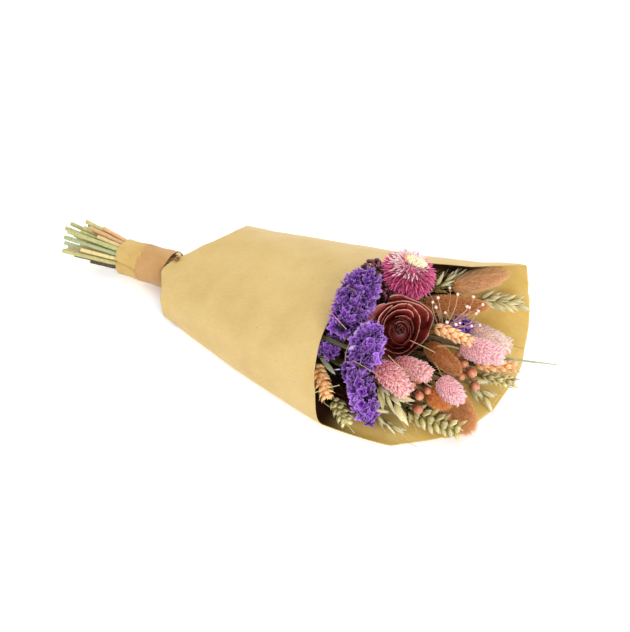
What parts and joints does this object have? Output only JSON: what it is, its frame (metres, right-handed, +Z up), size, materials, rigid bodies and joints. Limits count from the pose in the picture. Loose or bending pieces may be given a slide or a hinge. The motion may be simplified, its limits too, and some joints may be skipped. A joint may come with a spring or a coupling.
{
  "type": "mixed flower bouquet",
  "caption": "Mixed bouquet of dried and dyed flowers, grasses and ears lying in an open kraft paper cone, stems tied with a paper cuff and tape.",
  "frame": {"origin": "on the wrapper's flat underside, at the middle of the wrapper's length", "axes": "+X along the bouquet from the cut stems to the flower heads, +Y across it towards the taller side of the open paper, +Z up as it lies"},
  "size_m": [0.4223, 0.1926, 0.1081],
  "materials": {
    "kraft_paper": "matt brown kraft paper, lightly mottled",
    "kraft_cuff": "matt brown kraft paper, creased",
    "paper_tape": "dusty brown paper tape, faint sheen",
    "statice": "dry papery violet calyces",
    "strawflower": "stiff magenta bracts with a silky sheen",
    "rose": "dried brick-red petals, matt",
    "burgundy_buds": "dried dark maroon buds",
    "bunny_tail": "soft dyed rust-brown plumes",
    "phalaris": "dyed pink chaffy spikes",
    "orange_wheat": "dyed orange ears",
    "green_wheat": "dried green ears",
    "oat": "dried pale green spikelets",
    "flax": "dyed copper seed bolls, faint gloss",
    "baby_breath": "dyed pale pink buds",
    "green_stem": "dried green stems, matt"
  },
  "bodies": {
    "root": {"wrapper_sheet": "kraft_paper", "stem_collar": "kraft_cuff", "stem_tape": "paper_tape", "statice_1": "statice", "statice_2": "statice", "statice_3": "statice", "statice_4": "statice", "statice_5": "statice", "strawflower": "strawflower", "strawflower_stem": "green_stem", "rose": "rose", "rose_stem": "green_stem", "burgundy_buds": "burgundy_buds", "bunny_tail_1": "bunny_tail", "bunny_tail_2": "bunny_tail", "bunny_tail_3": "bunny_tail", "bunny_tail_4": "bunny_tail", "bunny_tail_5": "bunny_tail", "phalaris_1": "phalaris", "phalaris_2": "phalaris", "phalaris_3": "phalaris", "phalaris_4": "phalaris", "phalaris_5": "phalaris", "orange_wheat_1": "orange_wheat", "orange_wheat_2": "orange_wheat", "orange_wheat_3": "orange_wheat", "green_wheat_1": "green_wheat", "green_wheat_2": "green_wheat", "green_wheat_3": "green_wheat", "oat_1": "oat", "oat_2": "oat", "oat_3": "oat", "oat_4": "oat", "oat_5": "oat", "flax_1": "flax", "flax_2": "flax", "flax_3": "flax", "baby_breath": "baby_breath", "grass_awn": "green_stem", "filler_stem_1": "green_stem", "filler_stem_2": "green_stem", "filler_stem_3": "green_stem"}
  },
  "joints": []
}
